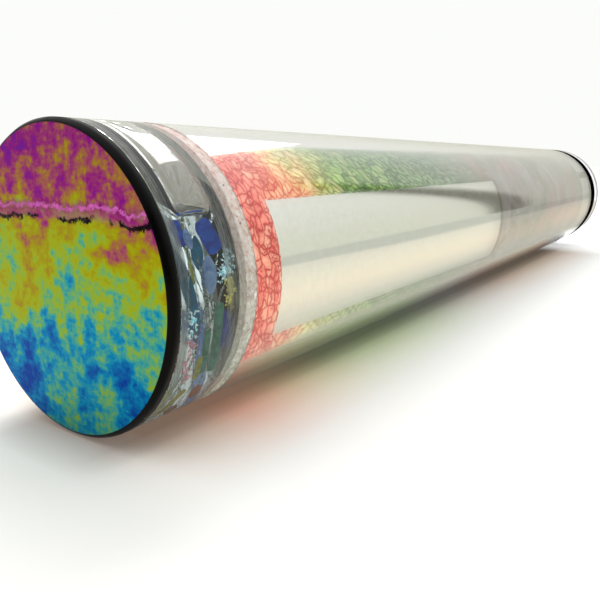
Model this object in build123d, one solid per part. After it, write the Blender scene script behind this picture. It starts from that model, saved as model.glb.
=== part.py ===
from build123d import *
import os
from math import atan2, cos, degrees, radians, sin, sqrt

# A clear kaleidoscope lying on its side. Its axis runs along X, from the liquid object cell at -X
# to the eyepiece at +X, and it touches the ground plane Z = 0. Sizes are in millimetres.
# Angles about the axis start at the top and grow towards -Y, the side with the open window.

# Barrel
barrel_radius = 25.4
barrel_wall = 3.175
barrel_length = 274.8

# Object end, in the order that the pieces stack along the axis
crease_height = 0.4
crease_width = 1.1
crease_level = 11.2
disc_thickness = 1.9
disc_bevel = 0.8
plate_thickness = 3.0
plate_clearance = 0.05
chamber_depth = 10.3
rear_plate_lap = 0.6
bead_inset = 0.15

# Filling hole in the cell's ring
fill_hole_radius = 1.6
fill_hole_angle = 262.0
plug_clearance = 0.04
plug_inset = 0.2

# Liquid and the air above it
liquid_clearance = 0.3
air_level = 9.6
meniscus_radius = 1.3

# Film that lines the barrel
film_thickness = 0.2
film_clearance = 0.1
film_pad_gap = 0.5
window_start = 8.6
window_length = 119.4
window_top_angle = 57.6
window_bottom_angle = 120.2
film_seam_gap = 0.5
film_seam_angle = 205.0

# Silvered tube that backs the film and shows in its window
liner_wall = 0.5
liner_clearance = 0.1

# Mirror prism: three strips, taped along the seams
mirror_glass = 2.0
mirror_clearance = 0.325
mirror_joint = 0.05
mirror_end_gap = 0.3
tape_thickness = 0.15
tape_lap = 3.0
pad_length = 17.5
pad_clearance = 0.15

# Eyepiece end
collar_length = 8.4
sight_hole_radius = 9.0
sight_flare = 2.5
lens_radius = 12.5
lens_centre = 3.4
lens_edge = 1.4
lens_clearance = 0.05
block_length = 11.1
dish_radius = 17.0
dish_floor_radius = 11.0
dish_depth = 3.5
edge_break = 0.4

# Worked out from the sizes above
bore_radius = barrel_radius - barrel_wall
film_outer = bore_radius - film_clearance
film_inner = film_outer - film_thickness
liner_outer = film_inner - liner_clearance
liner_inner = liner_outer - liner_wall
prism_radius = liner_inner - mirror_clearance
ring_length = plate_thickness + chamber_depth + rear_plate_lap
bead_length = plate_thickness - rear_plate_lap
overall_length = (crease_height + disc_thickness + ring_length + bead_length
                  + barrel_length + collar_length + block_length)
face_x = crease_height - overall_length / 2
ring_x = face_x + disc_thickness
chamber_x = ring_x + plate_thickness
rear_plate_x = chamber_x + chamber_depth
bead_x = ring_x + ring_length
barrel_x = bead_x + bead_length
collar_x = barrel_x + barrel_length
block_x = collar_x + collar_length
liquid_radius = bore_radius - liquid_clearance
liquid_depth = chamber_depth - 2 * liquid_clearance
mirror_start = barrel_x + mirror_end_gap
mirror_length = collar_x - mirror_end_gap - mirror_start
film_start = barrel_x + mirror_end_gap
film_length = collar_x - pad_length - film_pad_gap - film_start
# A strip's width, from the circle that its two back edges lie on
mirror_width = 1.5 * (sqrt(mirror_glass ** 2 / 3 + 4 * (prism_radius ** 2 - mirror_glass ** 2) / 3)
                      - mirror_glass / sqrt(3))
prism_inradius = mirror_width / (2 * sqrt(3))
seam_half_angle = 60 - degrees(atan2(mirror_width / 2, prism_inradius + mirror_glass))


def on_axis(x, solid):
    """A solid made along local Z from 0, laid along X with its start at x."""
    return Pos(X=x, Z=barrel_radius) * Rot(Y=90) * solid


def disc(x, radius, length):
    return on_axis(x, Cylinder(radius, length, align=(Align.CENTER, Align.CENTER, Align.MIN)))


def pipe(x, outer, inner, length):
    return disc(x, outer, length) - disc(x, inner, length)


def turned(x, profile_points):
    """A profile of (distance along the axis, radius) points, turned about the axis."""
    face = make_face(Polyline(*[(along, radius) for along, radius in profile_points], close=True))
    return Pos(X=x, Z=barrel_radius) * revolve(face, Axis.X)


def around(angle, solid):
    """Turn a solid made about the local X axis, with its outside at +Z, to an angle on the barrel."""
    return Pos(Z=barrel_radius) * Rot(X=angle) * solid


def seat(share, below, angle, spin, solid):
    """Set a solid in the liquid, at a share of the chamber's depth and so far below its round wall.
    The solid's local X lies along the axis, its Y around it and its Z outwards."""
    return around(angle, Pos(X=cell_depth(share), Z=liquid_radius - below) * Rot(Z=spin) * solid)


# ---- object end ----

def dichroic_disc():
    profile = [(0, 0), (0, barrel_radius - disc_bevel), (disc_bevel, barrel_radius),
               (disc_thickness, barrel_radius), (disc_thickness, 0)]
    plate = turned(face_x, profile)
    half_chord = sqrt((barrel_radius - disc_bevel) ** 2 - (crease_level + crease_width) ** 2)
    steps = 9
    kinks = [0, 0.7, -0.5, 0.9, 0.1, -0.8, 0.6, -0.3, 0.8, 0.2]
    for i in range(steps):
        start = Vector(0, -half_chord + 2 * half_chord * i / steps, crease_level + kinks[i] * crease_width)
        end = Vector(0, -half_chord + 2 * half_chord * (i + 1) / steps,
                     crease_level + kinks[i + 1] * crease_width)
        plate += crease_run(start, end)
    return plate


def crease_run(start, end):
    """One straight run of the crease: a low ridge with sloping sides, standing out of the face."""
    run = end - start
    middle = (start + end) / 2
    section = make_face(Polyline((-crease_width / 2, 0), (-crease_width / 6, crease_height),
                                 (crease_width / 6, crease_height), (crease_width / 2, 0), close=True))
    ridge = extrude(section, run.length / 2, both=True)
    lean = degrees(atan2(run.Z, run.Y))
    place = Pos(face_x, middle.Y, middle.Z + barrel_radius) * Rot(X=lean)
    return place * Plane(origin=(0, 0, 0), x_dir=(0, 0, -1), z_dir=(0, 1, 0)).location * ridge


def cell_front_plate():
    return disc(ring_x, bore_radius - plate_clearance, plate_thickness)


def fill_drill(radius):
    """A radial rod through the ring's wall, at the middle of the chamber."""
    middle = chamber_x + chamber_depth / 2
    return around(fill_hole_angle, Pos(X=middle, Z=bore_radius) * Cylinder(radius, 4 * barrel_wall))


def cell_ring():
    return pipe(ring_x, barrel_radius, bore_radius, ring_length) - fill_drill(fill_hole_radius)


def fill_plug():
    wall = pipe(ring_x, barrel_radius - plug_inset, bore_radius, ring_length)
    return wall & fill_drill(fill_hole_radius - plug_clearance)


def cell_rear_plate():
    return disc(rear_plate_x, bore_radius - plate_clearance, plate_thickness)


def seal_bead():
    outer = barrel_radius - bead_inset
    middle = bead_length / 2
    profile = [(0, bore_radius), (0, outer - bead_inset), (middle, outer),
               (bead_length, outer - bead_inset), (bead_length, bore_radius)]
    return turned(bead_x, profile)


# ---- what is in the liquid ----

def chip(length, width, thickness):
    plate = Box(width, length, thickness)
    return chamfer(plate.edges().filter_by(Axis.Z), width / 5)


def petal(length, width, thickness):
    tip = length / 2
    outline = (ThreePointArc((0, -tip), (width / 2, 0), (0, tip))
               + ThreePointArc((0, tip), (-width / 2, 0), (0, -tip)))
    return extrude(make_face(outline), thickness / 2, both=True)


def rod(length, radius):
    return Cylinder(radius, length).rotate(Axis.X, 90)


def drop(length, radius):
    """A faceted drop: round at one end and drawn out to a point at the other."""
    outline = Polyline((0, -length / 2), (radius * 0.7, -length * 0.4), (radius, -length / 6),
                       (radius * 0.8, length / 12), (0, length / 2), close=True)
    return revolve(make_face(outline), Axis.Y)


def flake(radius, thickness):
    return extrude(RegularPolygon(radius, 6), thickness / 2, both=True)


def curl(radius, wall, width):
    """A shaving: a strip bent into an open eight-sided ring."""
    band = extrude(RegularPolygon(radius, 8) - RegularPolygon(radius - wall, 8), width / 2, both=True)
    gap = Pos(X=radius) * Box(radius, radius, 2 * width)
    return (band - gap).rotate(Axis.Y, 90)


def strand(share, below, start, sweep, thickness):
    """A flat fibre that follows the wall of the cell from one angle to another."""
    section = Pos(X=cell_depth(share), Y=liquid_radius - below) * Rectangle(thickness, thickness / 2)
    return around(start, revolve(section, Axis.X, revolution_arc=sweep).rotate(Axis.X, 90))


def twisted_ribbon(share, share_end, below, start, sweep, width):
    """A flat ribbon that follows the wall, drifts along the axis and turns over in folds as it goes."""
    steps = 8
    fold_angle = 22.5
    radius = liquid_radius - below
    fold_length = 1.1 * radius * radians(sweep) / steps
    ribbon = []
    for i in range(steps):
        along = cell_depth(share + (share_end - share) * ((i + 0.5) / steps) ** 1.5)
        place = Rot(X=start + sweep * (i + 0.5) / steps) * Pos(X=along, Z=radius) * Rot(Y=fold_angle * i)
        ribbon.append(place * Box(width, fold_length, width / 4))
    return Pos(Z=barrel_radius) * ribbon[0].fuse(*ribbon[1:])


def group(*solids):
    return Compound(children=list(solids))


def cell_depth(share):
    """A place along the chamber: 0 at the front plate and 1 at the rear plate."""
    return chamber_x + chamber_depth * share


def cobalt_chips():
    return group(
        seat(0.66, 1.2, 69.5, 20, chip(5.0, 3.4, 0.9)),
        seat(0.22, 3.4, 66, 4, chip(3.6, 1.8, 0.8)),
        seat(0.5, 3.0, 282, 30, chip(7.0, 3.4, 0.9)),
        seat(0.5, 13.0, 200, -25, chip(8.0, 3.6, 0.9)),
    )


def periwinkle_petals():
    return group(
        seat(0.25, 1.2, 69.5, 2, petal(3.2, 1.5, 0.6)),
        seat(0.53, 1.3, 84, -2, petal(5.6, 2.9, 0.7)),
        seat(0.4, 2.2, 236, -15, petal(9.0, 3.2, 0.8)),
        seat(0.6, 10.0, 120, 40, petal(8.5, 3.0, 0.8)),
    )


def teal_petals():
    return group(
        seat(0.46, 3.3, 75, -8, petal(4.8, 2.3, 0.6)),
        seat(0.4, 5.6, 104, 15, petal(7.5, 2.6, 0.7)),
        seat(0.6, 4.0, 250, 20, petal(8.0, 2.8, 0.7)),
    )


def green_rods():
    return group(
        seat(0.78, 2.3, 112, 7, rod(11.0, 0.95)),
        seat(0.59, 2.4, 117, 9, rod(7.5, 0.7)),
        seat(0.7, 3.6, 212, 8, rod(10.0, 0.9)),
    )


def olive_strands():
    return group(
        seat(0.47, 1.2, 123, 10, chip(4.2, 1.3, 0.5)),
        seat(0.27, 1.2, 141, -24, chip(6.0, 1.5, 0.5)),
        strand(0.12, 2.6, 132, 34, 0.8),
        strand(0.3, 1.2, 252, 38, 0.8),
    )


def clear_twists():
    return group(
        twisted_ribbon(0.23, 0.5, 1.5, 76, 31, 1.2),
        twisted_ribbon(0.84, 0.55, 3.9, 90, 15, 1.1),
        twisted_ribbon(0.5, 0.6, 7.0, 272, 26, 1.4),
    )


def dichroic_flakes():
    places = [(0.91, 0.6, 78, 10), (0.8, 0.8, 83, 35), (0.9, 0.5, 82.5, 50), (0.92, 3.4, 85, 15),
              (0.15, 1.4, 99, 20), (0.13, 1.2, 105, 40), (0.75, 1.0, 230, 25), (0.3, 9.0, 152, 50)]
    return group(*[seat(share, below, angle, spin, flake(0.8, 0.25))
                   for share, below, angle, spin in places])


def yellow_flakes():
    places = [(0.9, 0.9, 87.5, 0), (0.91, 0.8, 91.5, 30), (0.89, 0.9, 95.5, 10), (0.5, 11.0, 152, 20)]
    return group(*[seat(share, below, angle, spin, chip(1.4, 1.0, 0.4))
                   for share, below, angle, spin in places])


def rose_curls():
    places = [(0.19, 1.6, 110.5, 20), (0.16, 1.6, 118.5, -30), (0.3, 1.6, 126.5, 10), (0.8, 1.8, 270, 40)]
    return group(*[seat(share, below, angle, spin, curl(1.0, 0.3, 1.2))
                   for share, below, angle, spin in places])


def amber_drops():
    return group(
        seat(0.78, 1.9, 140, 15, drop(3.6, 1.3)),
        seat(0.5, 1.9, 152, 60, drop(4.2, 1.3)),
        seat(0.6, 2.2, 186, -30, drop(4.2, 1.4)),
    )


floating_groups = {
    "cobalt_chips": cobalt_chips,
    "periwinkle_petals": periwinkle_petals,
    "teal_petals": teal_petals,
    "green_rods": green_rods,
    "olive_strands": olive_strands,
    "clear_twists": clear_twists,
    "dichroic_flakes": dichroic_flakes,
    "yellow_flakes": yellow_flakes,
    "rose_curls": rose_curls,
    "amber_drops": amber_drops,
}


def cell_liquid(floating):
    """The liquid: the chamber's round form, less the air over it and the pieces that float in it."""
    liquid = disc(chamber_x + liquid_clearance, liquid_radius, liquid_depth)
    air_height = 2 * (liquid_radius - air_level)
    air_depth = liquid_depth - 2 * liquid_clearance
    air = Box(air_depth, 4 * liquid_radius, air_height)
    lower_edges = air.edges().filter_by(Axis.Y).group_by(Axis.Z)[0]
    air = fillet(lower_edges, meniscus_radius)
    middle = chamber_x + chamber_depth / 2
    liquid -= Pos(X=middle, Z=barrel_radius + air_level + air_height / 2) * air
    for item in floating:
        liquid -= item
    return liquid


# ---- barrel ----

def barrel_tube():
    return pipe(barrel_x, barrel_radius, bore_radius, barrel_length)


def sector(x, length, start, sweep):
    """A wedge of ring that runs through the film from its inside to its outside."""
    radial = 2 * (film_outer - film_inner)
    middle = (film_outer + film_inner) / 2
    section = Pos(X=length / 2, Y=middle) * Rectangle(length, radial)
    ring = revolve(section, Axis.X, revolution_arc=sweep).rotate(Axis.X, 90)
    return Pos(X=x) * around(start, ring)


def film_lining():
    film = pipe(film_start, film_outer, film_inner, film_length)
    film -= sector(barrel_x + window_start, window_length, window_top_angle,
                   window_bottom_angle - window_top_angle)
    seam_sweep = degrees(film_seam_gap / film_inner)
    return film - sector(film_start, film_length, film_seam_angle, seam_sweep)


def silver_liner():
    return pipe(film_start, liner_outer, liner_inner, film_length)


def mirror(angle):
    strip = Box(mirror_length, mirror_width - 2 * mirror_joint, mirror_glass)
    middle = mirror_start + mirror_length / 2
    return around(angle, Pos(X=middle, Z=prism_inradius + mirror_glass / 2) * strip)


def seam_tape(angle):
    """Tape over one seam: a lap on each strip's back and a bridge between their edges."""
    edge = Vector(prism_radius * sin(radians(seam_half_angle)), prism_radius * cos(radians(seam_half_angle)))
    lap = edge + Vector(cos(radians(60)), -sin(radians(60))) * tape_lap
    lap_top = lap + Vector(sin(radians(60)), cos(radians(60))) * tape_thickness
    edge_top = edge + Vector(sin(radians(30)), cos(radians(30))) * (tape_thickness / cos(radians(30)))
    right = [edge, lap, lap_top, edge_top]
    left = [Vector(-point.X, point.Y) for point in reversed(right)]
    outline = Polyline(*[(point.X, point.Y) for point in right + left], close=True)
    strip = extrude(make_face(outline), mirror_length)
    upright = Plane(origin=(mirror_start, 0, 0), x_dir=(0, 1, 0), z_dir=(1, 0, 0)).location
    return around(angle, upright * strip)


def mirror_pads():
    """Three pads that fill the gaps between the mirrors' backs and the barrel at the eyepiece end."""
    blank = disc(collar_x - pad_length, bore_radius - pad_clearance, pad_length)
    reach = 2 * (prism_inradius + mirror_glass + tape_thickness + pad_clearance)
    prism = extrude(RegularPolygon(reach, 3), 2 * pad_length, both=True)
    return blank - Pos(X=collar_x, Z=barrel_radius) * Rot(Y=90) * prism


# ---- eyepiece end ----

def eyepiece_collar():
    seat_depth = lens_edge + lens_clearance
    seat_radius = lens_radius + lens_clearance
    shoulder = collar_length - seat_depth
    profile = [(0, sight_hole_radius + sight_flare), (0, barrel_radius), (collar_length, barrel_radius),
               (collar_length, seat_radius), (shoulder, seat_radius), (shoulder, sight_hole_radius),
               (sight_flare, sight_hole_radius)]
    return turned(collar_x, profile)


def eye_lens():
    """A plano-convex lens: a rim that sits in the collar and a dome that reaches into the sight hole."""
    crown = lens_centre - lens_edge
    dome_radius = sight_hole_radius - lens_clearance
    sphere_radius = (dome_radius ** 2 + crown ** 2) / (2 * crown)
    rim_x = block_x - lens_edge
    dome = Pos(X=rim_x - crown + sphere_radius, Z=barrel_radius) * Sphere(sphere_radius)
    dome &= disc(rim_x - crown, dome_radius, crown)
    return disc(rim_x, lens_radius, lens_edge) + dome


def eyepiece_block():
    """A thick clear disc, with a shallow cone in its outer face for the eye."""
    floor = block_length - dish_depth
    profile = [(0, 0), (0, barrel_radius), (block_length - edge_break, barrel_radius),
               (block_length, barrel_radius - edge_break), (block_length, dish_radius),
               (floor, dish_floor_radius), (floor, 0)]
    return turned(block_x, profile)


def main():
    os.makedirs("parts", exist_ok=True)
    floating = {name: make() for name, make in floating_groups.items()}
    pieces = {
        "dichroic_disc": dichroic_disc(),
        "cell_front_plate": cell_front_plate(),
        "cell_ring": cell_ring(),
        "fill_plug": fill_plug(),
        "cell_rear_plate": cell_rear_plate(),
        "seal_bead": seal_bead(),
        "cell_liquid": cell_liquid(floating.values()),
        "barrel_tube": barrel_tube(),
        "film_lining": film_lining(),
        "silver_liner": silver_liner(),
        "mirror_top": mirror(0),
        "mirror_near": mirror(120),
        "mirror_far": mirror(240),
        "seam_tape_near": seam_tape(60),
        "seam_tape_bottom": seam_tape(180),
        "seam_tape_far": seam_tape(300),
        "mirror_pads": mirror_pads(),
        "eyepiece_collar": eyepiece_collar(),
        "eye_lens": eye_lens(),
        "eyepiece_block": eyepiece_block(),
    }
    pieces.update(floating)
    for name, piece in pieces.items():
        export_step(piece, f"parts/{name}.step")


main()
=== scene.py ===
import random
from math import acos, atan2, cos, hypot, pi, radians, sin

import bmesh
import bpy
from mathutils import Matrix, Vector, noise


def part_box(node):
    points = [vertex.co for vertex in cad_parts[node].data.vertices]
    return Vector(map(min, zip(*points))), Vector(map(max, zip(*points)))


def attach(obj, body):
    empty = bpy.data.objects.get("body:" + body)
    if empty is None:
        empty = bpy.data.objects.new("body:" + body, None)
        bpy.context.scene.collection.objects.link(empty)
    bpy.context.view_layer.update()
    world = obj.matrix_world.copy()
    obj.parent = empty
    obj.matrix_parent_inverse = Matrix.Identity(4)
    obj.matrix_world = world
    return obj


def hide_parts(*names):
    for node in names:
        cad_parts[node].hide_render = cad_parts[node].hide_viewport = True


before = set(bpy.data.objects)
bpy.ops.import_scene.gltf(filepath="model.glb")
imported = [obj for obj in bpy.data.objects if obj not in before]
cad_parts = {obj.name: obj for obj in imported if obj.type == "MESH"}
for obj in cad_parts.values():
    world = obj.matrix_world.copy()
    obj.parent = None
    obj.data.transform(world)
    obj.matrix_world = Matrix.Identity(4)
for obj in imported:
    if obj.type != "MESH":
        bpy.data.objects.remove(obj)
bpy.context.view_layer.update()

# places taken from the frame, in metres
mm = 0.001
barrelLow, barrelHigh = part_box("barrel_tube")
ringLow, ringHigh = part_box("cell_ring")
frontPlateLow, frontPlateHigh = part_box("cell_front_plate")
rearPlateLow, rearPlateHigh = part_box("cell_rear_plate")
discLow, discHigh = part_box("dichroic_disc")
beadLow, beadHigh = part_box("seal_bead")
liquidLow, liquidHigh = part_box("cell_liquid")
filmLow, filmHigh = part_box("film_lining")
linerLow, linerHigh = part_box("silver_liner")
collarLow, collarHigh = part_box("eyepiece_collar")
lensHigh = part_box("eye_lens")[1]
blockLow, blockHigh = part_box("eyepiece_block")
radius = (barrelHigh.z - barrelLow.z) / 2
axisZ = barrelLow.z + radius
plateRadius = (frontPlateHigh.z - frontPlateLow.z) / 2
filmRadius = (filmHigh.z - filmLow.z) / 2
linerRadius = (linerHigh.z - linerLow.z) / 2
liquidRadius = liquidHigh.y
# the face's plane, under its raised crease, and the gap that glue fills round a plate
faceX = discLow.x + 0.4 * mm
glueGap = 0.05 * mm


def onBarrel(x, reach, angle):
    # a point at a distance from the axis; angles start at the top and grow towards -Y
    turn = radians(angle)
    return Vector((x, -reach * sin(turn), axisZ + reach * cos(turn)))


def tone(red, green, blue):
    # a screen colour, 0 to 255, as Blender's linear colour
    linear = []
    for value in (red, green, blue):
        share = value / 255
        linear.append(share / 12.92 if share <= 0.04045 else ((share + 0.055) / 1.055) ** 2.4)
    return (*linear, 1.0)


def makeMaterial(name, shaderOf, *values):
    material = bpy.data.materials.new(name)
    material.use_nodes = True
    material.node_tree.nodes.clear()
    addNode("ShaderNodeOutputMaterial", {"Surface": shaderOf(material.node_tree, *values)})
    return material


def addNode(kind, inputs, tree=None, **settings):
    # goes into the tree given, or else into that of the sockets that feed it
    if tree is None:
        tree = next(value.id_data for value in inputs.values() if isinstance(value, bpy.types.NodeSocket))
    node = tree.nodes.new(kind)
    for key, value in settings.items():
        setattr(node, key, value)
    for key, value in inputs.items():
        socket = node.inputs[key]
        if isinstance(value, bpy.types.NodeSocket):
            tree.links.new(value, socket)
        else:
            # three numbers on a colour socket are a screen colour
            isTone = socket.type == "RGBA" and len(value) == 3
            socket.default_value = tone(*value) if isTone else value
    return node


def shaderNode(kind, inputs, tree=None, **settings):
    return addNode("ShaderNode" + kind, inputs, tree, **settings).outputs[0]


def maths(operation, first, second=0.0, clamp=False):
    return shaderNode("Math", {0: first, 1: second}, operation=operation, use_clamp=clamp)


def times(first, *others):
    for other in others:
        first = maths("MULTIPLY", first, other)
    return first


def plus(first, *others):
    for other in others:
        first = maths("ADD", first, other)
    return first


def minus(first, second):
    return maths("SUBTRACT", first, second)


def spread(share, low, high, newLow=0.0, newHigh=1.0):
    return shaderNode("MapRange", {0: share, 1: low, 2: high, 3: newLow, 4: newHigh})


def band(share, rise, full, fade, end, top=1.0, rest=0.0):
    # nothing before rise, top from full to fade, and rest after end
    return times(spread(share, rise, full), spread(share, fade, end, top, rest))


def blendColours(share, first, second, mode="MIX"):
    inputs = {0: share, 6: first, 7: second}
    return addNode("ShaderNodeMix", inputs, data_type="RGBA", blend_type=mode).outputs[2]


def rampOf(share, stops):
    # stops pair a share with a screen colour or with a plain level
    node = addNode("ShaderNodeValToRGB", {0: share})
    elements = node.color_ramp.elements
    while len(elements) < len(stops):
        elements.new(0.5)
    for element, (place, look) in zip(elements, stops):
        element.position = place
        element.color = tone(*look) if isinstance(look, tuple) else (look, look, look, 1)
    return node.outputs[0]


def rampOver(place, stops, unit=1.0):
    # the same, with stops at distances
    length = stops[-1][0] * unit
    return rampOf(maths("DIVIDE", place, length), [(at * unit / length, look) for at, look in stops])


def noiseOf(place, scale, detail=4.0, rough=0.55, distortion=0.0):
    return shaderNode("TexNoise", {"Vector": place, "Scale": scale, "Detail": detail, "Roughness": rough,
                                   "Distortion": distortion})


def objectPlace(tree, stretch=(1, 1, 1), shift=(0, 0, 0)):
    place = addNode("ShaderNodeTexCoord", {}, tree).outputs["Object"]
    return shaderNode("Mapping", {"Vector": place, "Scale": stretch, "Location": shift})


def grainOf(tree, scale, detail=4.0, rough=0.55, distortion=0.0, stretch=(1, 1, 1), shift=(0, 0, 0)):
    return noiseOf(objectPlace(tree, stretch, shift), scale, detail, rough, distortion)


def partsOf(place):
    return tuple(addNode("ShaderNodeSeparateXYZ", {0: place}).outputs)


def bumpOf(height, strength, distance=0.0002):
    return shaderNode("Bump", {"Strength": strength, "Distance": distance, "Height": height})


socketNames = {"metallic": "Metallic", "ior": "IOR", "clear": "Transmission Weight", "gloss": "Specular IOR Level",
               "alpha": "Alpha", "normal": "Normal"}


def principled(colour, rough, glow=None, tree=None, **values):
    inputs = {"Base Color": colour, "Roughness": rough}
    if glow is not None:
        inputs.update({"Emission Color": colour, "Emission Strength": glow})
    inputs.update({socketNames[key]: value for key, value in values.items()})
    return shaderNode("BsdfPrincipled", inputs, tree)


def emission(colour, strength):
    return shaderNode("Emission", {"Color": colour, "Strength": strength})


def seeThrough(tree, colour):
    return shaderNode("BsdfTransparent", {"Color": colour}, tree)


def mixShaders(share, first, second):
    return shaderNode("MixShader", {0: share, 1: first, 2: second})


def addShaders(first, second):
    return shaderNode("AddShader", {0: first, 1: second})


def milky(share, shader, colour):
    # a share of the light passes through the piece and comes out scattered
    return mixShaders(share, shader, shaderNode("BsdfTranslucent", {"Color": colour}))


def smoothMesh(mesh, angle):
    for polygon in mesh.polygons:
        polygon.use_smooth = True
    mesh.set_sharp_from_angle(angle=radians(angle))


def objectFrom(mesh, name, materials):
    for material in materials:
        mesh.materials.append(material)
    piece = bpy.data.objects.new(name, mesh)
    bpy.context.collection.objects.link(piece)
    return piece


def pieceFrom(shape, name, materials, angle=None, turnOut=False):
    if turnOut:
        bmesh.ops.recalc_face_normals(shape, faces=shape.faces[:])
    mesh = bpy.data.meshes.new(name)
    shape.to_mesh(mesh)
    shape.free()
    if angle:
        smoothMesh(mesh, angle)
    return objectFrom(mesh, name, materials)


def ringOf(shape, x, reach, segments):
    return [shape.verts.new(onBarrel(x, reach, 360 * i / segments)) for i in range(segments)]


def joinRings(shape, first, second, look=0):
    faces = []
    for i in range(len(first)):
        j = (i + 1) % len(first)
        faces.append(shape.faces.new((first[i], first[j], second[j], second[i])))
        faces[-1].material_index = look
    return faces


def capRing(shape, ring, middle, look=0):
    faces = []
    for i in range(len(ring)):
        faces.append(shape.faces.new((ring[i], ring[(i + 1) % len(ring)], middle)))
        faces[-1].material_index = look
    return faces


def addLathe(shape, profile, segments):
    # turns (x, distance from the axis, material) points about the axis; a distance of 0 is a pole
    rings = [ringOf(shape, x, reach, segments) if reach else [shape.verts.new((x, 0, axisZ))]
             for x, reach, look in profile]
    faces = []
    for (x, reach, look), first, second in zip(profile, rings, rings[1:] + rings[:1]):
        if len(first) > 1 and len(second) > 1:
            faces += joinRings(shape, first, second, look)
        elif len(first) > 1:
            faces += capRing(shape, first, second[0], look)
        elif len(second) > 1:
            faces += capRing(shape, second[::-1], first[0], look)
    bmesh.ops.recalc_face_normals(shape, faces=faces)


def pipeProfile(start, end, outer, inner, soften, endLook=0):
    # a tube's section with broken outer corners
    return [(start, inner, endLook), (start, outer - soften, endLook), (start + soften, outer, 0),
            (end - soften, outer, endLook), (end, outer - soften, endLook), (end, inner, 0)]


def discProfile(start, end, outer, soften, startLook=0, edgeLook=0, endLook=0):
    return [(start, 0, startLook), (start, outer - soften, edgeLook), (start + soften, outer, edgeLook),
            (end - soften, outer, edgeLook), (end, outer - soften, endLook), (end, 0, endLook)]


def dress(piece, body, node):
    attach(piece, body)
    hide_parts(node)


def dressNode(node, material):
    # a CAD solid whose shape is right keeps its mesh and gets its finish
    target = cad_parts[node]
    target.data.materials.clear()
    target.data.materials.append(material)


def lathedPiece(node, name, profile, materials, segments=192):
    shape = bmesh.new()
    addLathe(shape, profile, segments)
    dress(pieceFrom(shape, name, materials, 35), "barrel", node)


def bakePiece(piece):
    finished = bpy.data.meshes.new_from_object(piece.evaluated_get(bpy.context.evaluated_depsgraph_get()))
    piece.modifiers.clear()
    piece.data = finished


cameraView = {"lens": 36.12, "sensor": 36.0, "azimuth": 35.17, "down": 12.92,
              # along, across and up from the face's middle, in barrel radii
              "place": (-2.121, -3.323, 0.740)}


def makeCamera():
    data = bpy.data.cameras.new("photoView")
    data.lens = cameraView["lens"]
    data.sensor_width = cameraView["sensor"]
    data.clip_start = 0.005
    data.clip_end = 50
    camera = bpy.data.objects.new("photoView", data)
    bpy.context.collection.objects.link(camera)
    along, across, up = cameraView["place"]
    camera.location = (faceX + along * radius, across * radius, axisZ + up * radius)
    turn = radians(cameraView["azimuth"])
    down = radians(cameraView["down"])
    look = Vector((cos(down) * cos(turn), cos(down) * sin(turn), -sin(down)))
    camera.rotation_euler = look.to_track_quat("-Z", "Y").to_euler()
    bpy.context.scene.camera = camera


stageLook = {
    "half": 6.0,
    # behind the face, in metres: the tint of the shade beside the barrel
    "tints": [(0.0, (252, 249, 245)), (0.012, (255, 234, 220)), (0.024, (255, 212, 190)), (0.045, (250, 238, 200)),
              (0.065, (240, 252, 206)), (0.08, (236, 250, 202)), (0.10, (234, 250, 212)), (0.12, (246, 249, 228)),
              (0.14, (252, 244, 234)), (0.18, (255, 230, 210)), (0.22, (255, 232, 206)), (0.26, (255, 226, 204)),
              (0.29, (255, 253, 250))],
    # metres from the barrel's middle line: how dark the shade is, and how bright the light round it
    "shade": [(0.0, 0.05), (0.010, 0.12), (0.012, 0.31), (0.014, 0.53), (0.016, 0.85), (0.018, 1.0)],
    "halo": [(0.0, 0.10), (0.018, 0.10), (0.022, 0.15), (0.026, 0.18), (0.030, 0.18), (0.036, 0.16), (0.044, 0.12),
             (0.05, 0.10)],
    # what only the clear and silvered surfaces see, a painted reflection: a pale sheet in front, with painted dark
    # lines at its edge, and a greyer room past that edge
    "sheet": [(0.018, (196, 196, 180)), (0.026, (221, 220, 206)), (0.036, (246, 236, 216)), (0.044, (255, 243, 222)),
              (0.052, (255, 243, 222)), (0.070, (248, 242, 222)), (0.110, (238, 233, 218)), (0.200, (234, 230, 216))],
    "sheetEdge": 0.128, "edgeTurns": 0.285, "pastTone": (206, 208, 196),
    "seams": [0.0, 0.006], "paintedEdgeLineTone": (176, 176, 162),
}


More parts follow.
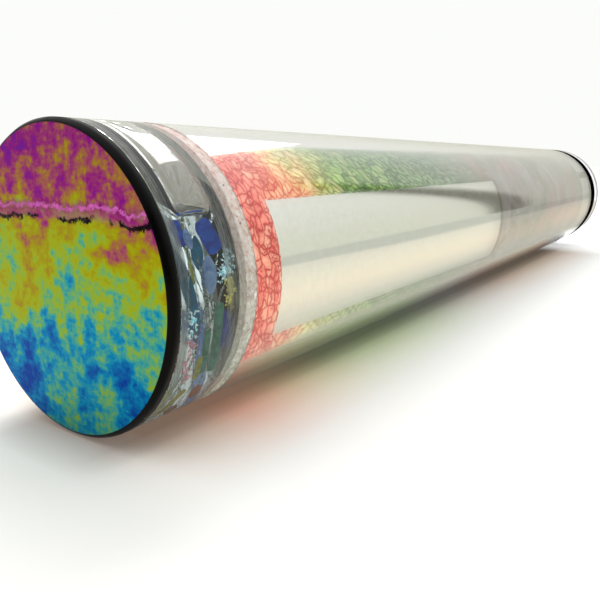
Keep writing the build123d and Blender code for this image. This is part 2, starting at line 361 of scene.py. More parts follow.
def tableShader(tree):
    place = objectPlace(tree)
    plain = rampOf(noiseOf(place, 30, 3), [(0.0, (243, 243, 241)), (1.0, (249, 249, 247))])
    x, y = partsOf(place)[:2]
    front = times(y, -1.0)
    aside = maths("ABSOLUTE", front)
    behind = minus(x, discLow.x)
    # the shade beside the barrel, tinted by the film, and light that the barrel throws past it
    tint = rampOver(behind, stageLook["tints"])
    beside = band(behind, -0.009, 0.007, 0.272, 0.29)
    near = times(spread(aside, 0.012, 0.034, 1.0, 0.0), beside)
    dimmed = blendColours(1.0, plain, rampOver(aside, stageLook["shade"]), "MULTIPLY")
    colour = blendColours(beside, plain, dimmed)
    colour = blendColours(near, colour, blendColours(1.0, colour, tint, "MULTIPLY"))
    halo = blendColours(beside, (89, 89, 89), rampOver(aside, stageLook["halo"]))
    halo = blendColours(near, halo, blendColours(1.0, halo, tint, "MULTIPLY"))
    past = times(spread(behind, 0.268, 0.29), spread(aside, 0.034, 0.05, 0.42, 0.0),
                 spread(behind, 0.33, 0.38, 1.0, 0.0))
    halo = blendColours(1.0, halo, past, "ADD")
    # a painted peach light on the floor beside the barrel's first few centimetres
    halo = blendColours(times(spread(behind, 0.03, 0.06, 0.5, 0.0), near), halo, (140, 112, 92))
    path = addNode("ShaderNodeLightPath", {}, tree).outputs
    lit = addShaders(shaderNode("BsdfDiffuse", {"Color": colour}), emission(halo, path["Is Camera Ray"]))
    # a painted reflection of a sheet and the room past it, as the clear and silvered surfaces show them
    sheet = rampOver(front, stageLook["sheet"])
    turned = maths("MAXIMUM", minus(stageLook["edgeTurns"], behind), 0.0)
    over = minus(minus(front, stageLook["sheetEdge"]), turned)
    sheet = blendColours(spread(over, -0.0005, 0.0005), sheet, stageLook["pastTone"])
    # painted dark lines along the sheet's edge
    for start in stageLook["seams"]:
        seam = band(over, start - 0.001, start, start + 0.0006, start + 0.0016, 0.32)
        sheet = blendColours(seam, sheet, stageLook["paintedEdgeLineTone"])
    # close under the barrel, these surfaces see the lit floor with a painted glow in the film's tint
    below = addShaders(lit, emission(tint, 0.14))
    shown = mixShaders(spread(front, 0.016, 0.021), below, emission(sheet, 1.0))
    seen = maths("MAXIMUM", path["Is Glossy Ray"], path["Is Transmission Ray"])
    return mixShaders(seen, lit, shown)


def makeStage():
    half = stageLook["half"]
    mesh = bpy.data.meshes.new("tableTop")
    mesh.from_pydata([(-half, -half, 0), (half, -half, 0), (half, half, 0), (-half, half, 0)], [], [(0, 1, 2, 3)])
    objectFrom(mesh, "tableTop", [makeMaterial("paleTable", tableShader)])


roomLook = {
    # the sine of the height above the horizon: the room's brightness there
    "levels": [(0.0, 0.74), (0.2, 0.77), (0.5, 0.86), (0.62, 1.1), (0.84, 1.3), (1.0, 1.35)],
    "low": (255, 255, 239), "high": (255, 255, 253),
    # a dark upright in the room, as degrees round from +X at the horizon, how it leans, and its shade
    "post": (-18.3, -15.0), "postLean": 3.2, "postShade": (138, 137, 126),
    "viewerShade": (40, 41, 44), "background": (252, 253, 250),
}


def makeWorld():
    world = bpy.data.worlds.new("softRoom")
    bpy.context.scene.world = world
    world.use_nodes = True
    tree = world.node_tree
    tree.nodes.clear()
    x, y, height = partsOf(addNode("ShaderNodeTexCoord", {}, tree).outputs["Generated"])
    # a ramp holds levels up to 1, so the brightness is divided here and multiplied again below
    brightest = 3.0
    level = rampOf(height, [(at, value / brightest) for at, value in roomLook["levels"]])
    bright = blendColours(spread(height, 0.1, 0.6), roomLook["low"], roomLook["high"])
    bearing = minus(maths("ARCTAN2", y, x), times(height, radians(roomLook["postLean"])))
    start, end = [radians(angle) for angle in roomLook["post"]]
    soft = radians(0.5)
    post = times(band(bearing, start - soft, start + soft, end - soft, end + soft),
                 spread(height, 0.5, 0.6, 1.0, 0.0))
    colour = blendColours(post, bright, roomLook["postShade"])
    # dim in a patch where a viewer stands
    turn = radians(cameraView["azimuth"])
    facing = plus(times(x, -0.975 * cos(turn)), times(y, -0.975 * sin(turn)), times(height, 0.22))
    colour = blendColours(spread(facing, 0.6, 0.9), colour, roomLook["viewerShade"])
    room = shaderNode("Background", {"Color": colour, "Strength": times(level, brightest)})
    plain = shaderNode("Background", {"Color": roomLook["background"], "Strength": 1.0}, tree)
    seen = addNode("ShaderNodeLightPath", {}, tree).outputs["Is Camera Ray"]
    addNode("ShaderNodeOutputWorld", {"Surface": mixShaders(seen, room, plain)})


lightLook = {"place": (0.45, 0.5, 0.8), "size": 0.7, "power": 9.0}


def makeLight():
    data = bpy.data.lights.new("topBox", "AREA")
    data.shape = "RECTANGLE"
    data.size = data.size_y = lightLook["size"]
    data.energy = lightLook["power"]
    lamp = bpy.data.objects.new("topBox", data)
    bpy.context.collection.objects.link(lamp)
    lamp.location = lightLook["place"]
    lamp.rotation_euler = (-Vector(lightLook["place"])).to_track_quat("-Z", "Y").to_euler()
    lamp.visible_glossy = False


def clearShader(tree, colour, ior=1.49, wear=0.25):
    rough = spread(grainOf(tree, 60, 3), 0.55, 0.8, 0.0, 0.03 * wear)
    scratches = grainOf(tree, 500, 2, stretch=(1, 14, 14))
    return principled(colour, rough, ior=ior, clear=1.0, normal=bumpOf(scratches, 0.02 * wear))


def wetShader(tree):
    # where liquid or glue of the same index meets acrylic, light goes straight through
    return principled((255, 255, 255), 0.5, tree=tree, alpha=0.0)


def liquidWallShader(tree):
    # the liquid against the glass: light goes straight through, faintly tinted below the air
    level = axisZ + bubbleLook["level"] * mm
    share = spread(partsOf(objectPlace(tree))[2], level - 1 * mm, level + 1 * mm)
    return seeThrough(tree, blendColours(share, (236, 241, 242), (253, 254, 253)))


def bubbleWallShader(tree):
    # the bubble's far wall, dull and milky, with mottled colour and bright fold lines that are painted reflections,
    # and a painted glow
    swirl = grainOf(tree, 150, 3, 0.55, 2.6, stretch=(1, 1.6, 1))
    # bright painted highlights along the swirl's folds
    paintedFoldHighlights = spread(maths("ABSOLUTE", minus(swirl, 0.5)), 0.0, 0.035, 1.0, 0.0)
    colour = rampOf(swirl, [(0.3, (196, 192, 174)), (0.55, (236, 232, 216)), (0.7, (214, 211, 196))])
    colour = blendColours(times(paintedFoldHighlights, 0.7), colour, (255, 255, 250))
    # a painted glow lifts the wall's colour
    return milky(0.4, principled(colour, 0.3, glow=0.3, ior=1.2, clear=0.1), colour)


def hazyShader(tree):
    # the ring's bore where a plate is glued in: turning lines and smears of glue round the wall
    lines = grainOf(tree, 5200, 3, 0.7, stretch=(1, 0.05, 0.05))
    smears = grainOf(tree, 260, 4, 0.65, stretch=(2.0, 0.5, 0.5))
    share = times(spread(lines, 0.38, 0.62, 0.45, 1.0), spread(smears, 0.3, 0.62, 0.35, 0.95))
    colour = rampOf(smears, [(0.3, (158, 172, 170)), (0.7, (222, 226, 218))])
    body = milky(0.5, principled(colour, 0.3, ior=1.2, clear=0.2), colour)
    return mixShaders(share, seeThrough(tree, (246, 249, 249)), body)


def machinedShader(tree):
    # the turned edge of a plate, half wetted by glue, with fine lathe lines
    lines = grainOf(tree, 9000, 2, 0.7, stretch=(1, 0.02, 0.02))
    patches = grainOf(tree, 160, 3)
    shade = times(spread(lines, 0.45, 0.62), spread(patches, 0.3, 0.6, 0.35, 1.0), 0.45)
    glossy = principled((150, 160, 166), 0.35, tree=tree, ior=1.2, clear=0.35)
    return mixShaders(shade, seeThrough(tree, (244, 247, 248)), glossy)


def glossShader(tree, dark, light, rough=0.12, gloss=0.5):
    dust = grainOf(tree, 220, 5, 0.6)
    colour = rampOf(dust, [(0.35, dark), (0.8, light)])
    return principled(colour, spread(dust, 0.3, 0.8, rough * 0.6, rough * 1.8), gloss=gloss)


def mirrorShader(tree):
    cloud = grainOf(tree, 40, 4)
    speck = spread(grainOf(tree, 1400, 2, 0.5), 0.74, 0.80)
    colour = rampOf(cloud, [(0.3, (240, 241, 236)), (0.7, (246, 246, 242))])
    colour = blendColours(speck, colour, (150, 150, 146))
    rough = plus(spread(cloud, 0.4, 0.8, 0.015, 0.06), times(speck, 0.2))
    return principled(colour, rough, metallic=1.0)


def linerShader(tree):
    # a bright silvered tube: nearly a mirror, with slow waves along it and a little dust
    waves = grainOf(tree, 70, 3, 0.5, stretch=(0.25, 1, 1))
    dust = grainOf(tree, 900, 3, 0.6)
    colour = rampOf(dust, [(0.3, (244, 244, 240)), (0.75, (250, 250, 247))])
    rough = spread(dust, 0.3, 0.8, 0.05, 0.12)
    return principled(colour, rough, metallic=1.0, normal=bumpOf(waves, 0.12, 0.0004))


def foilShader(tree):
    # aluminium tape, slightly creased, nearly as bright as the mirrors
    creases = grainOf(tree, 300, 4, 0.6, stretch=(0.4, 1, 1))
    # the colour follows the creases, darker in their hollows: painted shade
    colour = rampOf(creases, [(0.3, (204, 205, 199)), (0.7, (218, 218, 212))])
    return principled(colour, 0.12, metallic=1.0, normal=bumpOf(creases, 0.08))


def adhesiveShader(tree):
    place = objectPlace(tree)
    cloud = noiseOf(place, 900, 5, 0.75)
    low = rampOf(cloud, [(0.36, (162, 168, 150)), (0.5, (208, 211, 197)), (0.64, (251, 252, 245))])
    paintedLitTone = rampOf(cloud, [(0.34, (234, 184, 174)), (0.48, (250, 234, 228)), (0.62, (255, 254, 252))])
    # lighter and pinker towards the top: painted light
    high = spread(minus(partsOf(place)[2], axisZ), -0.016, 0.022)
    colour = blendColours(high, low, paintedLitTone)
    speck = spread(shaderNode("TexVoronoi", {"Vector": place, "Scale": 520.0}), 0.10, 0.16, 1.0, 0.0)
    patch = spread(noiseOf(place, 90, 2), 0.55, 0.62)
    colour = blendColours(times(speck, patch), colour, (70, 60, 66))
    # with a painted glow
    return principled(colour, 0.16, glow=0.12, ior=1.4, clear=0.5, normal=bumpOf(cloud, 0.8, 0.0004))


def artGlassShader(tree, dark, light, opal, clear):
    # coloured glass seen through the liquid: streaky colour, part clear and part milky, with a painted glow that
    # brightens it
    colour = rampOf(grainOf(tree, 500, 5, 0.6, 0.6, stretch=(1, 2.5, 1)), [(0.3, dark), (0.7, light)])
    return milky(opal, principled(colour, 0.12, glow=0.26, ior=1.12, clear=clear), colour)


def strandShader(tree):
    colour = rampOf(grainOf(tree, 140, 3), [(0.35, (214, 226, 220)), (0.65, (252, 253, 252))])
    return principled(colour, 0.02, ior=1.22, clear=0.96)


def glitterShader(tree, dark, light):
    # foil flakes with a painted glow standing in for their glints
    colour = rampOf(grainOf(tree, 2600, 2, 0.6), [(0.38, dark), (0.58, light)])
    return principled(colour, 0.15, glow=0.3, metallic=0.7)


coatingLook = {
    # a share of the coating's thickness range: the colour that it shows
    "colours": [(0.00, (0, 60, 150)), (0.10, (0, 96, 166)), (0.20, (0, 136, 178)), (0.29, (76, 162, 132)),
                (0.37, (132, 170, 60)), (0.46, (158, 166, 6)), (0.56, (158, 138, 10)), (0.64, (160, 100, 62)),
                (0.71, (152, 56, 104)), (0.79, (140, 18, 124)), (0.89, (104, 14, 150)), (1.0, (50, 62, 160))],
    # from the face's foot to its top: how thick the coating is
    "drift": [(0.0, 0.20), (0.12, 0.14), (0.27, 0.17), (0.36, 0.31), (0.43, 0.39), (0.55, 0.43), (0.66, 0.50),
              (0.745, 0.60), (0.76, 0.70), (0.86, 0.70), (1.0, 0.68)],
    "patches": 0.13, "flankTone": (140, 30, 112), "paintedHighlightTone": (226, 110, 204), "paintedShadowTone": (12, 5, 9),
}


def coatingShader(tree):
    x, y, z = partsOf(objectPlace(tree))
    slant = plus(minus(z, axisZ), times(y, -0.12))
    drift = rampOf(spread(slant, -0.025, 0.025), coatingLook["drift"])
    # patchy strokes on top of the slow drift
    broad = grainOf(tree, 78, 2, 0.5, shift=(0.31, 0.025, 0.012))
    across = grainOf(tree, 260, 5, 0.66, stretch=(1, 1.0, 1.9))
    down = grainOf(tree, 260, 5, 0.66, stretch=(1, 1.45, 1.0), shift=(0.1, 0, 0))
    patches = plus(*[times(spread(grain, 0.5 - reach, 0.5 + reach, -1, 1), coatingLook["patches"])
                     for grain, reach in ((broad, 0.18), (across, 0.2), (down, 0.2))])
    colour = rampOf(maths("ADD", drift, patches, clamp=True), coatingLook["colours"])
    # the crease: a bright painted highlight along its ridge, its deep magenta flank and a dark painted shadow below
    # it
    crease = addNode("ShaderNodeAttribute", {}, tree, attribute_name="aboveCrease").outputs["Fac"]
    line = plus(crease, times(spread(grainOf(tree, 1300, 4, 0.75), 0.3, 0.7, -1, 1), 0.5))
    flank = times(band(line, -2.4, -1.7, 0.2, 0.9), 0.6)
    colour = blendColours(flank, colour, coatingLook["flankTone"])
    # the ridge's painted highlight comes and goes in patches
    worn = spread(grainOf(tree, 700, 3), 0.36, 0.60, 0.35, 1.0)
    ridge = times(band(line, -0.62, -0.30, 0.0, 0.25), worn)
    colour = blendColours(ridge, colour, coatingLook["paintedHighlightTone"])
    # the painted shadow under the ridge is broken into dashes
    gaps = spread(grainOf(tree, 330, 3, stretch=(1, 1, 0.2)), 0.42, 0.50)
    paintedShadow = times(band(line, -2.45, -2.15, -1.65, -1.35), gaps)
    colour = blendColours(paintedShadow, colour, coatingLook["paintedShadowTone"])
    return principled(colour, 0.38, metallic=0.35, gloss=0.0, normal=bumpOf(down, 0.2))


discLook = {"bevel": 0.8, "edgeSoften": 0.12, "creaseLevel": 12.4, "creaseWidth": 1.5, "creaseHeight": 0.36,
            "rings": 110, "spokes": 360}


def roughness(x, y=0, z=0):
    return noise.noise(Vector((x, y, z)))


def creaseLine(y):
    # the crease's height above the axis: a ragged line across the face
    wander = roughness(y * 130, 3.1, 0) * 0.9 + roughness(y * 420, 7.7, 0) * 0.45
    return (discLook["creaseLevel"] + wander) * mm


def makeDisc(materials):
    bevel = discLook["bevel"] * mm
    rim = radius - bevel
    spokes = discLook["spokes"]
    shape = bmesh.new()
    creaseLayer = shape.verts.layers.float.new("aboveCrease")
    centre = shape.verts.new((faceX, 0, axisZ))
    centre[creaseLayer] = -discLook["creaseLevel"]
    # rings packed close enough for the crease to show in the mesh
    rings = []
    for k in range(1, discLook["rings"] + 1):
        reach = rim * k / discLook["rings"]
        rings.append(ringOf(shape, faceX, reach, spokes))
        for point in rings[-1]:
            place = point.co
            above = (place.z - axisZ) - creaseLine(place.y)
            width = discLook["creaseWidth"] * mm * (0.8 + 0.4 * roughness(place.y * 300, 0, 5))
            ridge = max(0.0, 1 - abs(above + 0.9 * mm) / width)
            lump = 0.75 + 0.5 * roughness(place.y * 500, place.z * 500, 0)
            fade = min(1.0, (rim - reach) / (1.2 * mm))
            place.x -= discLook["creaseHeight"] * mm * min(1.0, ridge * 1.6 * lump) * fade
            point[creaseLayer] = above / mm
    capRing(shape, rings[0], centre)
    for first, second in zip(rings, rings[1:]):
        joinRings(shape, first, second)
    edge = rings[-1]
    soft = discLook["edgeSoften"] * mm
    for x, reach in ((faceX + bevel * 0.12, rim + bevel * 0.35), (faceX + bevel - soft, radius - soft * 0.4),
                     (faceX + bevel + soft, radius), (discHigh.x - soft, radius), (discHigh.x, radius - soft)):
        ring = ringOf(shape, x, reach, spokes)
        joinRings(shape, edge, ring, 1)
        edge = ring
    capRing(shape, edge, shape.verts.new((discHigh.x, 0, axisZ)), 2)
    dress(pieceFrom(shape, "interferenceDisc", materials, 50, True), "barrel", "dichroic_disc")


cellLook = {"frontSmear": 0.3, "rearSmear": 2.2, "soften": 0.05}


def makeCellWalls(acrylic, wet, turned, hazy):
    bore = plateRadius + glueGap
    soften = cellLook["soften"] * mm
    frontGlue = frontPlateHigh.x + cellLook["frontSmear"] * mm
    rearGlue = rearPlateLow.x - cellLook["rearSmear"] * mm
    lathedPiece("cell_ring", "cellRing", [
        (ringLow.x, bore, 1), (ringLow.x, radius - soften, 0), (ringLow.x + soften, radius, 0),
        (ringHigh.x - soften, radius, 0), (ringHigh.x, radius - soften, 1), (ringHigh.x, bore, 2),
        (rearGlue, bore, 1), (frontGlue, bore, 2)], [acrylic, wet, hazy])
    lathedPiece("cell_front_plate", "cellFrontPlate",
                discProfile(frontPlateLow.x, frontPlateHigh.x, plateRadius, soften, 0, 1, 1), [acrylic, wet])
    lathedPiece("cell_rear_plate", "cellRearPlate",
                discProfile(rearPlateLow.x, rearPlateHigh.x, plateRadius, soften, 1, 2, 0), [acrylic, wet, turned])


bubbleLook = {"frontGap": 1.5, "rearGap": 0.12, "level": 9.6, "round": 1.7, "wallGap": 0.18, "ripple": 0.16}


def outwardAt(angle):
    return Vector((0, -sin(angle), cos(angle)))


def bubbleOutline(reach, level):
    # the air's section before rounding: an arc under the wall and a flat level, with the way out at each point
    half = acos(level / reach)
    arcSteps, turns, flatSteps = 150, 14, 60
    outline = []
    for i in range(arcSteps + 1):
        outward = outwardAt(-half + 2 * half * i / arcSteps)
        outline.append((outward * reach, outward))
    corner = outwardAt(half) * reach
    outline += [(corner, outwardAt(half + (pi - half) * i / turns)) for i in range(1, turns)]
    for i in range(flatSteps + 1):
        outline.append((Vector((0, corner.y * (1 - 2 * i / flatSteps), level)), Vector((0, 0, -1))))
    mirrored = Vector((0, -corner.y, corner.z))
    outline += [(mirrored, outwardAt(pi + (pi - half) * i / turns)) for i in range(1, turns)]
    return outline


def makeLiquid(materials):
    shape = bmesh.new()
    addLathe(shape, discProfile(liquidLow.x, liquidHigh.x, liquidRadius, 0.05 * mm), 192)
    # the air: a flat core with rounded sides, kept just inside the liquid so that a film wets the wall
    rounding = bubbleLook["round"] * mm
    reach = liquidRadius - bubbleLook["wallGap"] * mm - rounding
    level = bubbleLook["level"] * mm + rounding
    start = liquidLow.x + bubbleLook["frontGap"] * mm + rounding
    end = liquidHigh.x - bubbleLook["rearGap"] * mm - rounding
    latitudes = [(start, -90 + 15 * i) for i in range(7)]
    latitudes += [(start + (end - start) * i / 16, 0) for i in range(1, 16)]
    latitudes += [(end, 15 * i) for i in range(7)]
    bands = []
    for x, latitude in latitudes:
        lean = radians(latitude)
        ring = []
        for core, outward in bubbleOutline(reach, level):
            point = core + outward * rounding * cos(lean)
            place = Vector((x + rounding * sin(lean), point.y, point.z + axisZ))
            ripple = roughness(place.x * 260, place.y * 120, place.z * 120)
            ripple += 0.5 * roughness(place.x * 700, place.y * 500, place.z * 500)
            fade = max(0.0, cos(lean))
            place -= outward * max(0.0, ripple) * bubbleLook["ripple"] * mm * fade
            ring.append(shape.verts.new(place))
        bands.append(ring)
    cavity = []
    for first, second in zip(bands, bands[1:]):
        cavity += joinRings(shape, first, second)
    for ring, x in ((bands[0], start - rounding), (bands[-1], end + rounding)):
        cavity += capRing(shape, ring, shape.verts.new((x, 0, axisZ + (level + reach) / 2)))
    bmesh.ops.recalc_face_normals(shape, faces=cavity)
    bmesh.ops.reverse_faces(shape, faces=cavity)
    for face in cavity:
        face.material_index = 2 if face.normal.x < -0.45 else 1
    dress(pieceFrom(shape, "cellLiquid", materials, 60), "cell_contents", "cell_liquid")


beadLook = {"segments": 512, "rings": 9, "crown": 0.18, "lumps": 0.45}


def makeBead(glue):
    # a squeezed-out ring of glue: its outside wanders and has small lumps
    shape = bmesh.new()
    segments = beadLook["segments"]
    outer = beadHigh.z - axisZ
    rings = []
    for k in range(beadLook["rings"]):
        share = k / (beadLook["rings"] - 1)
        x = beadLow.x + (beadHigh.x - beadLow.x) * share
        sink = beadLook["crown"] * mm * (1 - sin(pi * share))
        flush = max(0.0, share * 8 - 7)
        ring = []
        for i in range(segments):
            angle = 360 * i / segments
            seed = onBarrel(x, radius, angle)
            lump = noise.noise(seed * 900) * 0.5 + noise.noise(seed * 2300) * 0.4
            reach = outer - (sink + abs(lump) * beadLook["lumps"] * mm) * (1 - flush)
            ring.append(shape.verts.new(onBarrel(x, reach, angle)))
        rings.append(ring)
    rings += [ringOf(shape, x, plateRadius + glueGap, segments) for x in (beadHigh.x, beadLow.x)]
    for first, second in zip(rings, rings[1:] + rings[:1]):
        joinRings(shape, first, second)
    dress(pieceFrom(shape, "sealBead", [glue], 60, True), "barrel", "seal_bead")


barrelLook = {"wall": 3.175, "soften": 0.04}


def makeBarrel(acrylic, glue):
    bore, soften = radius - barrelLook["wall"] * mm, barrelLook["soften"] * mm
    profile = pipeProfile(barrelLow.x, barrelHigh.x, radius, bore, soften, 1)
    lathedPiece("barrel_tube", "barrelTube", profile, [acrylic, glue], 256)


linerLook = {"wall": 0.5, "soften": 0.02}


def makeLiner(silver):
    inner, soften = linerRadius - linerLook["wall"] * mm, linerLook["soften"] * mm
    profile = pipeProfile(linerLow.x, linerHigh.x, linerRadius, inner, soften)
    lathedPiece("silver_liner", "silverLiner", profile, [silver], 256)


filmLook = {
    # millimetres behind the barrel's start: a cell's colour and a vein's colour, seen over the liner
    "colours": [(0, (255, 162, 144), (180, 18, 20)), (9, (255, 164, 142), (184, 22, 20)),
                (14, (255, 200, 150), (202, 50, 26)), (19, (255, 240, 172), (206, 104, 30)),
                (24, (250, 248, 164), (150, 136, 30)), (35, (208, 242, 134), (74, 128, 30)),
                (56, (192, 234, 146), (60, 114, 46)), (85, (186, 218, 172), (74, 116, 86)),
                (112, (194, 204, 186), (96, 122, 104)), (130, (204, 200, 190), (128, 128, 112)),
                (160, (212, 202, 198), (142, 130, 122)), (250, (210, 204, 208), (150, 140, 144))],
    "ringCell": 0.0014, "ringLean": 78, "ringStretch": 1.5, "streakCell": 0.0015, "streakLean": 33,
    "streakStretch": 2.3,
    # millimetres behind the barrel's start: how strongly the film glows, a painted glow that brightens its colours
    "paintedGlow": [(0, 0.5), (22, 0.46), (30, 0.34), (45, 0.22), (70, 0.16), (100, 0.08), (130, 0.03), (250, 0.0)],
    "clearStart": 0.5, "clearEnd": 0.3,
    "clouds": [(0.34, (132, 144, 128)), (0.45, (174, 174, 166)), (0.55, (208, 200, 202)), (0.66, (232, 227, 232))],
    "paleTone": (255, 228, 190), "crownTone": (176, 212, 204), "lowTone": (214, 214, 194),
    "rosyTone": (220, 158, 160), "scratchTone": (240, 246, 240),
}


def cellPattern(flat, lean, stretch, size):
    # warped cells, long along one direction: how near a vein each point is, and each cell's own shade
    warp = addNode("ShaderNodeTexNoise", {"Vector": flat, "Scale": 190, "Detail": 3.0}).outputs[1]
    push = shaderNode("VectorMath", {0: warp, 1: (0.5, 0.5, 0.5)}, operation="SUBTRACT")
    push = shaderNode("VectorMath", {0: push, "Scale": 0.0034}, operation="SCALE")
    bent = shaderNode("VectorMath", {0: flat, 1: push}, operation="ADD")
    turned = shaderNode("Mapping", {"Vector": bent, "Rotation": (0, 0, radians(-lean))})
    place = shaderNode("Mapping", {"Vector": turned, "Scale": (1 / stretch, 1, 1)})
    coarse, fine = [shaderNode("TexVoronoi", {"Vector": place, "Scale": count / size}, feature="DISTANCE_TO_EDGE")
                    for count in (1, 2.1)]
    own = addNode("ShaderNodeTexVoronoi", {"Vector": place, "Scale": 1 / size}).outputs["Color"]
    crowd = spread(noiseOf(flat, 210, 2), 0.44, 0.56)
    close = maths("MINIMUM", coarse, plus(fine, times(crowd, 0.6)))
    return close, shaderNode("SeparateColor", {0: own})


def filmShader(tree):
    flat = shaderNode("UVMap", {}, tree, uv_map="filmMap")
    u, v = partsOf(flat)[:2]
    along = plus(u, times(spread(noiseOf(flat, 55, 3), 0.3, 0.7, -1, 1), 0.006))
    # rings of cells by the object end, streaks further on
    rings = cellPattern(flat, filmLook["ringLean"], filmLook["ringStretch"], filmLook["ringCell"])
    streaks = cellPattern(flat, filmLook["streakLean"], filmLook["streakStretch"], filmLook["streakCell"])
    streaky = spread(along, 0.014, 0.024)
    near, own = [shaderNode("Mix", {0: streaky, 2: ring, 3: streak}) for ring, streak in zip(rings, streaks)]
    cellTone, veinTone = [rampOver(along, [(row[0], row[i]) for row in filmLook["colours"]], mm) for i in (1, 2)]
    # thin veins, and a darker colour that gathers towards them
    dark = plus(times(spread(near, 0.02, 0.10, 1.0, 0.0), 0.55), spread(near, 0.05, 0.38, 0.46, 0.0))
    dark = maths("ADD", dark, times(spread(own, 0.6, 1.0), 0.3), clamp=True)
    dark = times(dark, spread(along, 0.085, 0.13, 1.0, 0.12))
    pale = times(spread(own, 0.15, 0.5, 0.6, 0.0), spread(along, 0.03, 0.06, 1.0, 0.4))
    cellTone = blendColours(pale, cellTone, filmLook["paleTone"])
    # cooler along the crown, and paler in a band under the window
    turn = maths("DIVIDE", v, filmRadius)
    crown = times(spread(turn, 0.3, 0.8, 0.6, 0.0), spread(along, 0.028, 0.05))
    cellTone = blendColours(crown, cellTone, filmLook["crownTone"])
    colour = blendColours(dark, cellTone, veinTone)
    low = times(band(turn, 2.1, 2.2, 2.6, 2.8), spread(along, 0.010, 0.022, 0.0, 0.7))
    colour = blendColours(low, colour, filmLook["lowTone"])
    # towards the eyepiece the cells dissolve into clouds with rosy patches and a few pale scratches
    far = spread(along, 0.10, 0.135)
    clouds = rampOf(noiseOf(flat, 62, 5, 0.62, 0.7), filmLook["clouds"])
    colour = blendColours(times(far, 0.85), colour, clouds)
    rosy = times(spread(noiseOf(flat, 44, 2), 0.52, 0.64, 0.0, 0.6), far)
    colour = blendColours(rosy, colour, filmLook["rosyTone"])
    drawnOut = shaderNode("Mapping", {"Vector": flat, "Rotation": (0, 0, radians(-62)), "Scale": (0.16, 1, 1)})
    scratch = times(spread(noiseOf(drawnOut, 560, 2), 0.64, 0.68), band(along, 0.075, 0.11, 0.14, 0.16, 1.0, 0.15))
    colour = blendColours(times(scratch, 0.75), colour, filmLook["scratchTone"])
    clear = spread(along, 0.08, 0.13, filmLook["clearStart"], filmLook["clearEnd"])
    # a painted glow that lifts the film's colours, strongest by the object end
    paintedGlow = rampOver(along, filmLook["paintedGlow"], mm)
    return principled(colour, 0.04, glow=paintedGlow, ior=1.001, clear=clear, normal=bumpOf(near, 0.15))


# millimetres from the barrel's start and along it, and degrees from the top
windowLook = {"start": 8.6, "length": 119.4, "fromAngle": 57.6, "toAngle": 120.2, "seamAngle": 205, "seamGap": 1.0}


def stepsBetween(stops, counts):
    # places from the first stop to the last, evenly spread between each two
    places = []
    for first, second, count in zip(stops, stops[1:], counts):
        places += [first + (second - first) * i / count for i in range(count)]
    return places + [stops[-1]]


def makeFilm(material, wet):
    openStart = barrelLow.x + windowLook["start"] * mm
    openEnd = openStart + windowLook["length"] * mm
    low, high, seam = windowLook["fromAngle"], windowLook["toAngle"], windowLook["seamAngle"]
    stops = [filmLow.x, openStart, openEnd, filmHigh.x]
    alongs = stepsBetween(stops, [max(2, int((b - a) / (2 * mm))) for a, b in zip(stops, stops[1:])])
    stops = [seam - 360, low, high, seam]
    angles = stepsBetween(stops, [round((b - a) / 1.25) for a, b in zip(stops, stops[1:])])
    middles = [(a + b) / 2 for a, b in zip(angles, angles[1:])]
    angles[-1] -= windowLook["seamGap"]
    shape = bmesh.new()
    layer = shape.loops.layers.uv.new("filmMap")
    grid = [[shape.verts.new(onBarrel(x, filmRadius, angle)) for angle in angles] for x in alongs]
    for k in range(len(alongs) - 1):
        inWindow = openStart - 1e-6 <= alongs[k] < openEnd - 1e-6
        for i, middle in enumerate(middles):
            if inWindow and low < middle % 360 < high:
                continue
            face = shape.faces.new((grid[k][i], grid[k][i + 1], grid[k + 1][i + 1], grid[k + 1][i]))
            for loop in face.loops:
                place = loop.vert.co
                turn = atan2(-place.y, place.z - axisZ) % (2 * pi)
                loop[layer].uv = (place.x - barrelLow.x, turn * filmRadius)
    bmesh.ops.delete(shape, geom=[vert for vert in shape.verts if not vert.link_faces], context="VERTS")
    shape.normal_update()
    for face in shape.faces:
        centre = face.calc_center_median()
        if face.normal.dot(centre - Vector((centre.x, 0, axisZ))) < 0:
            face.normal_flip()
    piece = pieceFrom(shape, "filmLining", [material, wet], 40)
    solidify = piece.modifiers.new("sheet", "SOLIDIFY")
    solidify.thickness = 0.2 * mm
    solidify.offset = -1
    solidify.material_offset = 1
    solidify.material_offset_rim = 1
    bakePiece(piece)
    dress(piece, "barrel", "film_lining")


eyepieceLook = {"soften": 0.25, "hole": 9.0, "flare": 2.5, "seatRadius": 12.55, "seatDepth": 1.45,
                "lensRadius": 12.5, "lensRim": 1.4, "lensCrown": 2.0, "lensSoften": 0.1,
                "blockSoften": 0.4, "seamSoften": 0.1, "seam": 1.1,
                "dishRadius": 17.0, "dishFloor": 11.0, "dishDepth": 3.5}


